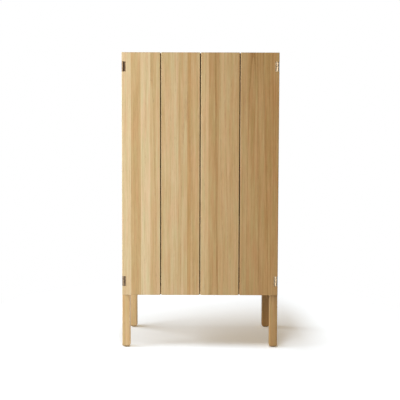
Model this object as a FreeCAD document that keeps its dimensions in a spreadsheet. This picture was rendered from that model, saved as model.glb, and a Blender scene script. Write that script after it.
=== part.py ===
import FreeCAD, Part
import os
import types

import Sketcher

# An oak cabinet on four legs, closed by two pairs of folding doors.
# The frame: +Z up, the doors face -Y, the origin is on the floor under the middle of the cabinet.
# Every length is in millimetres.

SIZES = {
    # The whole cabinet
    "cabinet_width": 806,
    "cabinet_depth": 400,
    "cabinet_height": 1520,
    "leg_height": 280,
    # Corner posts, whose lower ends are the legs, and the felt glides under them
    "post_width": 40,
    "post_round": 3,
    "foot_chamfer": 7,
    "glide_diameter": 24,
    "glide_thickness": 5,
    "glide_recess": 3,
    # Four door leaves, and the room left round them
    "door_thickness": 22,
    "door_gap": 5,
    "door_standoff": 2,
    "door_reveal": 3,
    "door_round": 2,
    # Top panel, bottom panel, and the bearers and front rail under it
    "top_thickness": 22,
    "top_round": 2,
    "bottom_thickness": 22,
    "bottom_lift": 30,
    "front_rail_height": 42,
    "front_rail_thickness": 22,
    "dowel_diameter": 10,
    "dowel_length": 34,
    "dowel_in_top": 14,
    # Side panels, tongued into grooves in the posts
    "side_thickness": 18,
    "side_recess": 4,
    "tongue_thickness": 8,
    "tongue_length": 10,
    # Back boards, tongued into each other, and the two rails in front of them
    "back_thickness": 14,
    "back_inset": 12,
    "back_gap": 3,
    "back_tongue_thickness": 5,
    "back_tongue_length": 8,
    "rail_thickness": 12,
    "rail_height": 50,
    "tenon_thickness": 6,
    "tenon_length": 12,
    # Shelves, and the rows of holes that their pins stand in
    "shelf_thickness": 18,
    "shelf_setback": 26,
    "shelf_clearance": 1.5,
    "shelf_round": 2,
    "pin_diameter": 6,
    "pin_depth": 11,
    "pin_reach": 8,
    "pin_inset": 7,
    "hole_pitch": 32,
    # Hinges between the posts and the outer leaves
    "hinge_height": 50,
    "hinge_inset": 72,
    "hinge_barrel": 14,
    "hinge_pin": 6,
    "knuckle_height": 20,
    "knuckle_gap": 0.5,
    "pin_clearance": 0.05,
    "post_plate_thickness": 3,
    "post_plate_width": 28,
    "post_plate_inset": 7,
    "hinge_arm": 8,
    "barrel_clearance": 0.5,
    "notch_clearance": 0.5,
    "door_plate_thickness": 6,
    "door_plate_margin": 1,
    "hinge_web": 8,
    # Hinges between the two leaves of a pair, on their backs
    "fold_inset": 112,
    "fold_height": 50,
    "fold_barrel": 7,
    "fold_pin": 3.4,
    "fold_knuckle_height": 20,
    "fold_plate_thickness": 2,
    "fold_plate_width": 20,
    # Countersunk screws of all the hinges
    "screw_head": 7,
    "screw_head_height": 2,
    "screw_shank": 3.4,
    "screw_length": 16,
    "screw_spread": 30,
    "notch_screw_spread": 10,
    # Magnets in the case and the strikes that they hold
    "magnet_diameter": 10,
    "magnet_length": 12,
    "strike_diameter": 12,
    "strike_thickness": 2,
    "catch_offset": 25,
    # Room left at the end of a groove, mortise or hole, and how far a cut runs past its open face
    "spare_depth": 1,
    "overrun": 5,
}

LEAVES = 4
BACK_BOARDS = 4
HOLES_PER_SHELF = 5
SHELF_SHARES = (0.25, 0.5, 0.75)

BACKWARD = FreeCAD.Vector(0, 1, 0)
FORWARD = FreeCAD.Vector(0, -1, 0)
RIGHT = FreeCAD.Vector(1, 0, 0)
LEFT = FreeCAD.Vector(-1, 0, 0)
UP = FreeCAD.Vector(0, 0, 1)


class Length:
    """A length, kept as an expression of the sheet's cells and as the value that it has."""

    def __init__(self, text, value):
        self.text = text
        self.value = value

    def __add__(self, other):
        return Length(f"({self.text} + {other.text})", self.value + other.value)

    def __sub__(self, other):
        return Length(f"({self.text} - {other.text})", self.value - other.value)

    def __mul__(self, share):
        return Length(f"({self.text} * {share})", self.value * share)

    def __truediv__(self, share):
        return Length(f"({self.text} / {share})", self.value / share)

    def __neg__(self):
        return Length(f"(-{self.text})", -self.value)


ZERO = Length("0", 0.0)

# The document, its sheet of sizes, and the same sizes as lengths to reckon with
doc = FreeCAD.newDocument("cabinet")
sheet = doc.addObject("Spreadsheet::Sheet", "size")
for row, (size_name, number) in enumerate(SIZES.items(), start=1):
    sheet.set(f"A{row}", str(number))
    sheet.setAlias(f"A{row}", size_name)
doc.recompute()
s = types.SimpleNamespace(**{name: Length(f"size.{name}", float(number)) for name, number in SIZES.items()})

# Planes that several pieces share
side = s.cabinet_width / 2
door_side = side - s.door_reveal
door_front = -s.cabinet_depth / 2
door_back = door_front + s.door_thickness
case_front = door_back + s.door_standoff
case_rear = s.cabinet_depth / 2
top_under = s.cabinet_height - s.top_thickness
deck_under = s.leg_height + s.bottom_lift
deck_top = deck_under + s.bottom_thickness
post_foot = s.glide_thickness - s.glide_recess
post_inner = side - s.post_width
front_post_rear = case_front + s.post_width
rear_post_front = case_rear - s.post_width
side_inner = side - s.side_recess - s.side_thickness
back_outer = case_rear - s.back_inset
back_inner = back_outer - s.back_thickness
rail_front = back_inner - s.rail_thickness
leaf_pitch = (door_side * 2 + s.door_gap) / LEAVES
leaf_width = leaf_pitch - s.door_gap
hinge_x = s.hinge_barrel / 2 - door_side
hinge_y = door_front + s.hinge_barrel / 2
fold_x = leaf_width + s.door_gap / 2 - door_side
fold_y = door_back + s.fold_barrel / 2

nodes = {}


def keep(name, item):
    """Name a finished piece, so that it is checked and written."""
    item.Label = name
    nodes[name] = item


def mirrored(item):
    twin = doc.addObject("Part::Mirroring", "twin")
    twin.Source = item
    twin.Normal = RIGHT
    return twin


def keep_pair(name, item):
    """Keep a left-hand piece, and its mirror image on the right."""
    keep(f"{name}_left", item)
    keep(f"{name}_right", mirrored(item))


def new_body(name):
    return doc.addObject("PartDesign::Body", f"{name}_blank")


def origin_part(body, role):
    return next(part for part in body.Origin.OriginFeatures if part.Role == role)


def new_sketch(body, role, level):
    """A sketch parallel to one of the body's origin planes, at a level along that plane's normal."""
    sketch = body.newObject("Sketcher::SketchObject", "outline")
    sketch.AttachmentSupport = (origin_part(body, role), [""])
    sketch.MapMode = "FlatFace"
    sketch.setExpression("AttachmentOffset.Base.z", level.text)
    return sketch


def fix_point(sketch, curve, end, point):
    """Tie one point of a curve to its two distances from the sketch's origin."""
    for direction, length in zip(("DistanceX", "DistanceY"), point):
        number = sketch.addConstraint(Sketcher.Constraint(direction, -1, 1, curve, end, length.value))
        sketch.setExpression(f"Constraints[{number}]", length.text)


def flat(point):
    return FreeCAD.Vector(point[0].value, point[1].value, 0)


def draw_outline(sketch, points):
    """A closed outline of straight lines."""
    for index, point in enumerate(points):
        following = points[(index + 1) % len(points)]
        sketch.addGeometry(Part.LineSegment(flat(point), flat(following)), False)
    for index, point in enumerate(points):
        sketch.addConstraint(Sketcher.Constraint("Coincident", index, 2, (index + 1) % len(points), 1))
        fix_point(sketch, index, 1, point)


def draw_circle(sketch, centre, diameter):
    curve = sketch.addGeometry(Part.Circle(flat(centre), UP, diameter.value / 2), False)
    fix_point(sketch, curve, 3, centre)
    number = sketch.addConstraint(Sketcher.Constraint("Diameter", curve, diameter.value))
    sketch.setExpression(f"Constraints[{number}]", diameter.text)


def draw_rounded_square(sketch, low, high, radius):
    """A square whose corners are arcs: each runs from the end of one side to the start of the next."""
    x = (low[0], low[0] + radius, high[0] - radius, high[0])
    y = (low[1], low[1] + radius, high[1] - radius, high[1])
    corners = [
        ((x[2], y[0]), (x[3], y[1]), (x[2], y[1])),
        ((x[3], y[2]), (x[2], y[3]), (x[2], y[2])),
        ((x[1], y[3]), (x[0], y[2]), (x[1], y[2])),
        ((x[0], y[1]), (x[1], y[0]), (x[1], y[1])),
    ]
    for start, finish, centre in corners:
        outward = (flat(start) + flat(finish) - flat(centre) * 2).normalize()
        middle = flat(centre) + outward * radius.value
        arc = sketch.addGeometry(Part.Arc(flat(start), middle, flat(finish)), False)
        fix_point(sketch, arc, 1, start)
        fix_point(sketch, arc, 2, finish)
        number = sketch.addConstraint(Sketcher.Constraint("Radius", arc, radius.value))
        sketch.setExpression(f"Constraints[{number}]", radius.text)
    for arc, (start, finish, centre) in enumerate(corners):
        following = (arc + 1) % len(corners)
        line = sketch.addGeometry(Part.LineSegment(flat(finish), flat(corners[following][0])), False)
        sketch.addConstraint(Sketcher.Constraint("Coincident", line, 1, arc, 2))
        sketch.addConstraint(Sketcher.Constraint("Coincident", line, 2, following, 1))


def add_pad(body, sketch, height):
    pad = body.newObject("PartDesign::Pad", "pad")
    pad.Profile = sketch
    pad.setExpression("Length", height.text)


def add_pocket(body, sketch, depth):
    """Cut from the sketch against its normal, and make sure that something came away."""
    doc.recompute()
    volume_before = body.Shape.Volume
    pocket = body.newObject("PartDesign::Pocket", "pocket")
    pocket.Profile = sketch
    pocket.setExpression("Length", depth.text)
    doc.recompute()
    if not body.Shape.Volume < volume_before:
        raise RuntimeError(f"A cut in {body.Name} removes nothing")
    return pocket


def rectangle(low, high):
    return [(low[0], low[1]), (high[0], low[1]), (high[0], high[1]), (low[0], high[1])]


def prism(body, points, bottom, top):
    """Extrude an outline drawn in plan between two heights."""
    sketch = new_sketch(body, "XY_Plane", bottom)
    draw_outline(sketch, points)
    add_pad(body, sketch, top - bottom)


def block(body, low, high):
    prism(body, rectangle(low, high), low[2], high[2])


def trench(body, low, high):
    """Cut a box out of the body between two corners."""
    sketch = new_sketch(body, "XY_Plane", high[2])
    draw_outline(sketch, rectangle(low, high))
    add_pocket(body, sketch, high[2] - low[2])


def round_edges(body, radius, wanted=lambda edge: True):
    """Round the edges of the body's last feature that a test picks."""
    doc.recompute()
    base = body.Tip
    names = [f"Edge{n}" for n, edge in enumerate(base.Shape.Edges, start=1) if wanted(edge)]
    fillet = body.newObject("PartDesign::Fillet", "rounding")
    fillet.Base = (base, names)
    fillet.setExpression("Radius", radius.text)


def place(item, point, direction=UP):
    """Stand a primitive on a point, with its own Z along a direction."""
    item.Placement = FreeCAD.Placement(FreeCAD.Vector(), FreeCAD.Rotation(UP, direction))
    for axis, length in zip("xyz", point):
        item.setExpression(f"Placement.Base.{axis}", length.text)
    return item


def rod(diameter, length, point, direction=UP):
    cylinder = doc.addObject("Part::Cylinder", "rod")
    cylinder.setExpression("Radius", (diameter / 2).text)
    cylinder.setExpression("Height", length.text)
    return place(cylinder, point, direction)


def screw(point, direction):
    """A countersunk screw, its flat head flush with the face that the point is on."""
    head = doc.addObject("Part::Cone", "screw_head")
    head.setExpression("Radius1", (s.screw_head / 2).text)
    head.setExpression("Radius2", (s.screw_shank / 2).text)
    head.setExpression("Height", s.screw_head_height.text)
    place(head, point, direction)
    whole = doc.addObject("Part::Fuse", "screw")
    whole.Base = head
    whole.Tool = rod(s.screw_shank, s.screw_length, point, direction)
    return whole


def group(items):
    """Several solids as one piece."""
    compound = doc.addObject("Part::Compound", "group")
    compound.Links = list(items)
    return compound


def drilled(body, *fittings):
    """The body with the room for its fittings cut out of it."""
    cut = doc.addObject("Part::Cut", "drilled")
    cut.Base = body
    cut.Tool = group(fittings)
    return cut


def both_sides(items):
    """The left-hand items and their mirror images, as one group."""
    left = group(items)
    return group([left, mirrored(left)])


def shelf_pin_level(share):
    return deck_top + (top_under - deck_top) * share


# Fittings of the case: shelf pins, dowels under the top, felt glides

post_fronts = {"front": case_front, "rear": rear_post_front}
pin_rows = {"front": front_post_rear - s.pin_inset, "rear": rear_post_front + s.pin_inset}
post_centre_x = s.post_width / 2 - side
post_centres = {name: (post_centre_x, front + s.post_width / 2) for name, front in post_fronts.items()}

pin_end = s.pin_reach - post_inner
shelf_pins = both_sides(
    rod(s.pin_diameter, s.pin_depth + s.pin_reach, (pin_end, row, shelf_pin_level(share)), LEFT)
    for row in pin_rows.values()
    for share in SHELF_SHARES
)
dowel_low = top_under + s.dowel_in_top - s.dowel_length
top_dowels = both_sides(
    rod(s.dowel_diameter, s.dowel_length, (*centre, dowel_low)) for centre in post_centres.values()
)
foot_glides = both_sides(
    rod(s.glide_diameter, s.glide_thickness, (*centre, ZERO)) for centre in post_centres.values()
)
keep("shelf_pins", shelf_pins)
keep("top_dowels", top_dowels)
keep("foot_glides", foot_glides)

# Magnets in the front edges of the case, strikes in the backs of the inner leaves

catch_levels = (deck_under + s.bottom_thickness / 2, top_under + s.top_thickness / 2)
catch_magnets = both_sides(
    rod(s.magnet_diameter, s.magnet_length, (-s.catch_offset, case_front, level), BACKWARD)
    for level in catch_levels
)
strikes = group(
    rod(s.strike_diameter, s.strike_thickness, (-s.catch_offset, door_back, level), FORWARD)
    for level in catch_levels
)
keep("catch_magnets", catch_magnets)
keep_pair("door_strikes", strikes)

# Heights of the hinges, and their screws

hinge_levels = {"upper": s.cabinet_height - s.hinge_inset, "lower": s.leg_height + s.hinge_inset}
fold_levels = {"upper": s.cabinet_height - s.fold_inset, "lower": s.leg_height + s.fold_inset}
post_plate_left = s.post_plate_inset - side
post_plate_right = post_plate_left + s.post_plate_width
notch_wall = s.hinge_barrel + s.barrel_clearance + s.door_plate_thickness - door_side
door_middle = door_front + s.door_thickness / 2
fold_edge_outer = fold_x - s.door_gap / 2
fold_edge_inner = fold_x + s.door_gap / 2


def screw_pairs(levels, spread, x, y, direction):
    """Two screws, one above the other, at each hinge."""
    return [
        screw((x, y, middle + offset), direction)
        for middle in levels.values()
        for offset in (-spread / 2, spread / 2)
    ]


post_screw_x = (post_plate_left + s.hinge_arm + post_plate_right) / 2
post_screws = group(screw_pairs(hinge_levels, s.screw_spread, post_screw_x, case_front, BACKWARD))
notch_screw_x = notch_wall - s.door_plate_thickness
notch_screws = screw_pairs(hinge_levels, s.notch_screw_spread, notch_screw_x, door_middle, RIGHT)
outer_fold_x = fold_edge_outer - s.fold_plate_width / 2
outer_fold_screws = screw_pairs(fold_levels, s.screw_spread, outer_fold_x, door_back, FORWARD)
inner_fold_x = fold_edge_inner + s.fold_plate_width / 2
inner_screws = group(screw_pairs(fold_levels, s.screw_spread, inner_fold_x, door_back, FORWARD))
outer_screws = group(notch_screws + outer_fold_screws)
keep("post_hinge_screws", group([post_screws, mirrored(post_screws)]))
keep_pair("outer_door_screws", outer_screws)
keep_pair("inner_door_screws", inner_screws)

# Hinges

running_pin = s.hinge_pin + s.pin_clearance * 2
running_fold_pin = s.fold_pin + s.pin_clearance * 2
fold_plate_front = door_back - s.fold_plate_thickness
fold_far_outer = fold_edge_outer - s.fold_plate_width
fold_far_inner = fold_edge_inner + s.fold_plate_width


def knuckle_spans(level, height, middle):
    """The middle span of a barrel, and the lower and upper spans a gap away from it."""
    half = height / 2
    inner = middle / 2
    outer = inner + s.knuckle_gap
    return [(level - inner, level + inner)], [(level - half, level - outer), (level + outer, level + half)]


def hinge_leaf(name, plate, web, spans, axis, barrel, bore):
    """A plate, with a web out to each of its knuckles, and the hole for the pin."""
    body = new_body(name)
    block(body, *plate)
    for bottom, top in spans:
        block(body, (*web[0], bottom), (*web[1], top))
        sketch = new_sketch(body, "XY_Plane", bottom)
        draw_circle(sketch, axis, barrel)
        add_pad(body, sketch, top - bottom)
        sketch = new_sketch(body, "XY_Plane", top)
        draw_circle(sketch, axis, bore)
        add_pocket(body, sketch, top - bottom)
    return body


def edge_hinge(where, level):
    """The post's leaf, the outer door's leaf and the pin of one hinge at the cabinet's side."""
    low = level - s.hinge_height / 2
    high = level + s.hinge_height / 2
    axis = (hinge_x, hinge_y)
    middle_span, outer_spans = knuckle_spans(level, s.hinge_height, s.knuckle_height)
    plate_rear = case_front + s.post_plate_thickness
    plate = ((post_plate_left, case_front, low), (post_plate_right, plate_rear, high))
    arm = ((post_plate_left, hinge_y), (post_plate_left + s.hinge_arm, plate_rear))
    leaf = hinge_leaf(f"post_hinge_{where}", plate, arm, middle_span, axis, s.hinge_barrel, s.hinge_pin)
    keep_pair(f"post_hinge_{where}", drilled(leaf, post_screws))
    plate = (
        (notch_screw_x, door_front + s.door_plate_margin, low),
        (notch_wall, door_back - s.door_plate_margin, high),
    )
    web = ((hinge_x, hinge_y - s.hinge_web / 2), (notch_wall, hinge_y + s.hinge_web / 2))
    leaf = hinge_leaf(f"door_hinge_{where}", plate, web, outer_spans, axis, s.hinge_barrel, running_pin)
    keep_pair(f"door_hinge_{where}", drilled(leaf, outer_screws))
    keep_pair(f"hinge_pin_{where}", rod(s.hinge_pin, s.hinge_height, (*axis, low)))


def fold_hinge(where, level):
    """The two leaves of one hinge on the backs of a pair of doors."""
    low = level - s.fold_height / 2
    high = level + s.fold_height / 2
    axis = (fold_x, fold_y)
    middle_span, outer_spans = knuckle_spans(level, s.fold_height, s.fold_knuckle_height)
    plate = ((fold_far_outer, fold_plate_front, low), (fold_edge_outer, door_back, high))
    web = ((fold_x - s.fold_barrel / 2, fold_plate_front), axis)
    leaf = hinge_leaf(f"outer_fold_{where}", plate, web, outer_spans, axis, s.fold_barrel, s.fold_pin)
    keep_pair(f"fold_hinge_outer_{where}", drilled(leaf, outer_screws))
    plate = ((fold_edge_inner, fold_plate_front, low), (fold_far_inner, door_back, high))
    web = ((fold_x, fold_plate_front), (fold_x + s.fold_barrel / 2, fold_y))
    leaf = hinge_leaf(f"inner_fold_{where}", plate, web, middle_span, axis, s.fold_barrel, running_fold_pin)
    keep_pair(f"fold_hinge_inner_{where}", drilled(leaf, inner_screws))


for where, level in hinge_levels.items():
    edge_hinge(where, level)
for where, level in fold_levels.items():
    fold_hinge(where, level)
fold_pin_feet = [(fold_x, fold_y, level - s.fold_height / 2) for level in fold_levels.values()]
keep_pair("fold_pins", group(rod(s.fold_pin, s.fold_height, foot) for foot in fold_pin_feet))

# Door leaves

outer_leaf = new_body("door_outer")
block(outer_leaf, (-door_side, door_front, s.leg_height), (fold_edge_outer, door_back, s.cabinet_height))
round_edges(outer_leaf, s.door_round)
notch_half = s.hinge_height / 2 + s.notch_clearance
for level in hinge_levels.values():
    trench(
        outer_leaf,
        (-door_side - s.overrun, door_front - s.overrun, level - notch_half),
        (notch_wall, door_back + s.overrun, level + notch_half),
    )
inner_leaf = new_body("door_inner")
block(inner_leaf, (fold_edge_inner, door_front, s.leg_height), (-s.door_gap / 2, door_back, s.cabinet_height))
round_edges(inner_leaf, s.door_round)
for level in fold_levels.values():
    low = level - s.fold_height / 2
    high = level + s.fold_height / 2
    gain_rear = door_back + s.overrun
    gain_right = fold_edge_outer + s.overrun
    gain_left = fold_edge_inner - s.overrun
    trench(outer_leaf, (fold_far_outer, fold_plate_front, low), (gain_right, gain_rear, high))
    trench(inner_leaf, (gain_left, fold_plate_front, low), (fold_far_inner, gain_rear, high))
keep_pair("door_outer", drilled(outer_leaf, outer_screws))
keep_pair("door_inner", drilled(inner_leaf, inner_screws, strikes))

# Corner posts

tongue_left = (s.side_thickness - s.tongue_thickness) / 2 + s.side_recess - side
tongue_right = tongue_left + s.tongue_thickness
groove_depth = s.tongue_length + s.spare_depth
rail_spans = {"lower": (s.leg_height, deck_under), "upper": (top_under - s.rail_height, top_under)}
tenon_front = rail_front + (s.rail_thickness - s.tenon_thickness) / 2
tenon_rear = tenon_front + s.tenon_thickness


def post_blank(name):
    """A square post with rounded edges, drawn in at the foot."""
    front = post_fronts[name]
    low = (-side, front)
    high = (-post_inner, front + s.post_width)
    foot_top = post_foot + s.foot_chamfer
    body = new_body(f"post_{name}")
    sole = new_sketch(body, "XY_Plane", post_foot)
    sole_low = tuple(edge + s.foot_chamfer for edge in low)
    sole_high = tuple(edge - s.foot_chamfer for edge in high)
    draw_rounded_square(sole, sole_low, sole_high, s.post_round)
    ankle = new_sketch(body, "XY_Plane", foot_top)
    draw_rounded_square(ankle, low, high, s.post_round)
    foot = body.newObject("PartDesign::AdditiveLoft", "foot")
    foot.Profile = sole
    foot.Sections = [ankle]
    foot.Ruled = True
    shaft = new_sketch(body, "XY_Plane", foot_top)
    draw_rounded_square(shaft, low, high, s.post_round)
    add_pad(body, shaft, top_under - foot_top)
    return body


def bore_pin_holes(body, name):
    """A row of holes for each shelf in the post's inner face, the middle one at the shelf's height."""
    sketch = new_sketch(body, "YZ_Plane", -post_inner)
    row_length = s.hole_pitch * (HOLES_PER_SHELF - 1)
    for share in SHELF_SHARES:
        draw_circle(sketch, (pin_rows[name], shelf_pin_level(share) - row_length / 2), s.pin_diameter)
    first_holes = add_pocket(body, sketch, s.pin_depth + s.spare_depth)
    rows = body.newObject("PartDesign::LinearPattern", "hole_rows")
    rows.Originals = [first_holes]
    rows.Direction = (origin_part(body, "Z_Axis"), [""])
    rows.setExpression("Length", row_length.text)
    rows.Occurrences = HOLES_PER_SHELF
    body.Tip = rows


front_post = post_blank("front")
trench(
    front_post,
    (tongue_left, front_post_rear - groove_depth, s.leg_height),
    (tongue_right, front_post_rear + s.overrun, top_under),
)
for level in hinge_levels.values():
    trench(
        front_post,
        (post_plate_left, case_front - s.overrun, level - s.hinge_height / 2),
        (post_plate_right, case_front + s.post_plate_thickness, level + s.hinge_height / 2),
    )
bore_pin_holes(front_post, "front")
keep_pair("post_front", drilled(front_post, top_dowels, foot_glides, post_screws))

rear_post = post_blank("rear")
trench(
    rear_post,
    (tongue_left, rear_post_front - s.overrun, s.leg_height),
    (tongue_right, rear_post_front + groove_depth, top_under),
)
trench(
    rear_post,
    (-post_inner - groove_depth, back_inner, s.leg_height),
    (s.overrun - post_inner, back_outer, top_under),
)
for bottom, top in rail_spans.values():
    trench(
        rear_post,
        (-post_inner - s.tenon_length - s.spare_depth, tenon_front, bottom),
        (s.overrun - post_inner, tenon_rear, top),
    )
bore_pin_holes(rear_post, "rear")
keep_pair("post_rear", drilled(rear_post, top_dowels, foot_glides))

# Side panels and the bearers inside them

panel_left = s.side_recess - side
tongue_front_end = front_post_rear - s.tongue_length
tongue_rear_end = rear_post_front + s.tongue_length
side_panel = new_body("side_panel")
prism(
    side_panel,
    [
        (panel_left, front_post_rear),
        (tongue_left, front_post_rear),
        (tongue_left, tongue_front_end),
        (tongue_right, tongue_front_end),
        (tongue_right, front_post_rear),
        (-side_inner, front_post_rear),
        (-side_inner, rear_post_front),
        (tongue_right, rear_post_front),
        (tongue_right, tongue_rear_end),
        (tongue_left, tongue_rear_end),
        (tongue_left, rear_post_front),
        (panel_left, rear_post_front),
    ],
    s.leg_height,
    top_under,
)
keep_pair("side_panel", side_panel)

bearer = doc.addObject("Part::Box", "bearer")
bearer.setExpression("Length", (side_inner - post_inner).text)
bearer.setExpression("Width", (rear_post_front - front_post_rear).text)
bearer.setExpression("Height", s.bottom_lift.text)
place(bearer, (-side_inner, front_post_rear, s.leg_height))
keep_pair("bottom_bearer", bearer)

# The front rail, between the bearers and set back behind the posts to leave room for fingers

front_rail = doc.addObject("Part::Box", "rail")
front_rail.setExpression("Length", (post_inner * 2).text)
front_rail.setExpression("Width", s.front_rail_thickness.text)
front_rail.setExpression("Height", s.front_rail_height.text)
place(front_rail, (-post_inner, front_post_rear, deck_under - s.front_rail_height))
keep("front_rail", front_rail)

# Back boards and rails

board_pitch = ((post_inner + s.tongue_length) * 2 + s.back_gap) / BACK_BOARDS
back_tongue_front = back_inner + (s.back_thickness - s.back_tongue_thickness) / 2
back_tongue_rear = back_tongue_front + s.back_tongue_thickness
for index in range(BACK_BOARDS):
    left = board_pitch * index - post_inner - s.tongue_length
    right = left + board_pitch - s.back_gap
    points = [(left, back_inner), (right, back_inner)]
    if index < BACK_BOARDS - 1:
        tip = right + s.back_tongue_length
        points += [(right, back_tongue_front), (tip, back_tongue_front)]
        points += [(tip, back_tongue_rear), (right, back_tongue_rear)]
    points += [(right, back_outer), (left, back_outer)]
    if index > 0:
        floor = left + s.back_tongue_length - s.back_gap + s.spare_depth
        points += [(left, back_tongue_rear), (floor, back_tongue_rear)]
        points += [(floor, back_tongue_front), (left, back_tongue_front)]
    board = new_body("back_board")
    prism(board, points, s.leg_height, top_under)
    keep(f"back_board_{index + 1}", board)

tenon_end = post_inner + s.tenon_length
for where, (bottom, top) in rail_spans.items():
    rail = new_body("back_rail")
    prism(
        rail,
        [
            (-post_inner, rail_front),
            (post_inner, rail_front),
            (post_inner, tenon_front),
            (tenon_end, tenon_front),
            (tenon_end, tenon_rear),
            (post_inner, tenon_rear),
            (post_inner, back_inner),
            (-post_inner, back_inner),
            (-post_inner, tenon_rear),
            (-tenon_end, tenon_rear),
            (-tenon_end, tenon_front),
            (-post_inner, tenon_front),
        ],
        bottom,
        top,
    )
    keep(f"back_rail_{where}", rail)

# Top panel, bottom panel and shelves


def notched_outline(half_width, front, rear, corner_x, corner_front, corner_rear):
    """A rectangle in plan with its four corners cut out round the posts."""
    return [
        (-corner_x, front),
        (corner_x, front),
        (corner_x, corner_front),
        (half_width, corner_front),
        (half_width, corner_rear),
        (corner_x, corner_rear),
        (corner_x, rear),
        (-corner_x, rear),
        (-corner_x, corner_rear),
        (-half_width, corner_rear),
        (-half_width, corner_front),
        (-corner_x, corner_front),
    ]


def above_top_underside(edge):
    return edge.BoundBox.ZMax > top_under.value + s.top_round.value


top_panel = new_body("top_panel")
block(top_panel, (-side, case_front, top_under), (side, case_rear, s.cabinet_height))
round_edges(top_panel, s.top_round, above_top_underside)
keep("top_panel", drilled(top_panel, top_dowels, catch_magnets))

bottom_panel = new_body("bottom_panel")
bottom_outline = notched_outline(
    side_inner, case_front, back_inner, post_inner, front_post_rear, rear_post_front
)
prism(bottom_panel, bottom_outline, deck_under, deck_top)
keep("bottom_panel", drilled(bottom_panel, catch_magnets))

shelf_front = case_front + s.shelf_setback
shelf_outline = notched_outline(
    side_inner - s.shelf_clearance,
    shelf_front,
    back_inner - s.shelf_clearance,
    post_inner - s.shelf_clearance,
    front_post_rear + s.shelf_clearance,
    rear_post_front - s.shelf_clearance,
)


def on_shelf_front(edge):
    """True for the two long edges at the front of a shelf."""
    near = s.shelf_round.value
    return edge.BoundBox.YMax < shelf_front.value + near and edge.BoundBox.ZLength < near


for index, share in enumerate(SHELF_SHARES, start=1):
    shelf = new_body("shelf")
    shelf_under = shelf_pin_level(share) + s.pin_diameter / 2
    prism(shelf, shelf_outline, shelf_under, shelf_under + s.shelf_thickness)
    round_edges(shelf, s.shelf_round, on_shelf_front)
    keep(f"shelf_{index}", shelf)

# Check every object, then write each piece

doc.recompute()
for item in doc.Objects:
    if "Invalid" in item.State or "Error" in item.State:
        raise RuntimeError(f"{item.Label} failed: {item.State}")
for name, item in nodes.items():
    if item.Shape.isNull() or not item.Shape.isValid():
        raise RuntimeError(f"{name} has no valid shape")
    if not item.Shape.Solids or min(solid.Volume for solid in item.Shape.Solids) <= 0:
        raise RuntimeError(f"{name} has no solid")

os.makedirs("parts", exist_ok=True)
for name, item in nodes.items():
    item.Shape.exportStep(os.path.join("parts", f"{name}.step"))
print(f"{len(nodes)} pieces written")
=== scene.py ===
# %% [markdown]
# # An oak cabinet with folding board doors
# This lesson dresses a packed cabinet: four plain oak door boards on a case with tall square legs.
# The solids come from the frame and stay where they are, so the work here is light, wood and metal,
# and the small things that repeat, which Geometry Nodes make.

# %% Load the frame
import math
import random

import bmesh
import bpy
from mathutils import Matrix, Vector


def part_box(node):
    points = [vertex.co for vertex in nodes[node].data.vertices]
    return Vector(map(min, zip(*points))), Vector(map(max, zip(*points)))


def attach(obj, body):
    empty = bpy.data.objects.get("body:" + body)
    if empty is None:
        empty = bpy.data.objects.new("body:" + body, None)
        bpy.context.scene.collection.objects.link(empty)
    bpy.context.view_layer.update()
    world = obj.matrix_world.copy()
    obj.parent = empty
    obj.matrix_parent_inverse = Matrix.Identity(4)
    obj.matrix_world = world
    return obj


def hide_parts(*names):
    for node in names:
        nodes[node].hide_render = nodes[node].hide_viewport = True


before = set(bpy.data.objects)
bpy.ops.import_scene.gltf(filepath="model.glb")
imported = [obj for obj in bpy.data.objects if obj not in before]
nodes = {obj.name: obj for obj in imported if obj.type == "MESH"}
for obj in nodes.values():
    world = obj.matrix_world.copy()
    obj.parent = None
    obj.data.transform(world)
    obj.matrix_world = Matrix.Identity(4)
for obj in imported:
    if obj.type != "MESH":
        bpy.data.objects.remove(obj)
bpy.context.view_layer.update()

# %% [markdown]
# ## Camera
# The photograph looks at the doors square on, from about chest height, and its upright lines stay
# almost parallel. A small tilt and a small lens shift together give that, where a tilt alone would
# make the case look narrower at the feet. A roll of a fraction of a degree follows the photograph too.
# A camera without rotation looks straight down, so a quarter turn makes it level first.

# %% Camera
CAMERA_PLACE = (-0.0123, -3.067, 1.0141)
CAMERA_LEVEL_DEG = 90
CAMERA_TILT_DEG = 2.4
CAMERA_ROLL_DEG = -0.16
CAMERA_LENS_MM = 50.62
CAMERA_SHIFT = (0.0053, -0.06)


def new_object(name, data):
    """An object for a mesh, lamp or camera, linked into the scene."""
    made = bpy.data.objects.new(name, data)
    bpy.context.collection.objects.link(made)
    return made


camera_data = bpy.data.cameras.new("camera")
camera_data.lens = CAMERA_LENS_MM
camera_data.shift_x, camera_data.shift_y = CAMERA_SHIFT
camera = new_object("camera", camera_data)
camera.location = CAMERA_PLACE
camera_lean = math.radians(CAMERA_LEVEL_DEG - CAMERA_TILT_DEG)
camera.rotation_euler = (camera_lean, math.radians(CAMERA_ROLL_DEG), 0)
bpy.context.scene.camera = camera
bpy.context.scene.view_settings.view_transform = "Standard"

# %% [markdown]
# ## Helpers for node trees
# Materials and Geometry Nodes are both trees of nodes. A few small helpers keep the trees short to
# read. Most add one node, fill its sockets and hand back its output: a step of arithmetic on numbers or
# points, a number moved to another range, two mixed colours, noise, and a ramp of colours.

# %% Helpers for node trees
def fill(tree, socket, value):
    """Join a socket to another socket, or set its value."""
    if isinstance(value, bpy.types.NodeSocket):
        tree.links.new(value, socket)
    else:
        socket.default_value = value


def add(tree, kind, inputs=None, **settings):
    """Add one node, set its own properties, and fill its inputs by name or number."""
    made = tree.nodes.new(kind)
    for name, value in settings.items():
        setattr(made, name, value)
    for key, value in (inputs or {}).items():
        fill(tree, made.inputs[key], value)
    return made


def output(tree, kind, inputs=None, **settings):
    """Add one node and hand back its first output."""
    return add(tree, kind, inputs, **settings).outputs[0]


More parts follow.
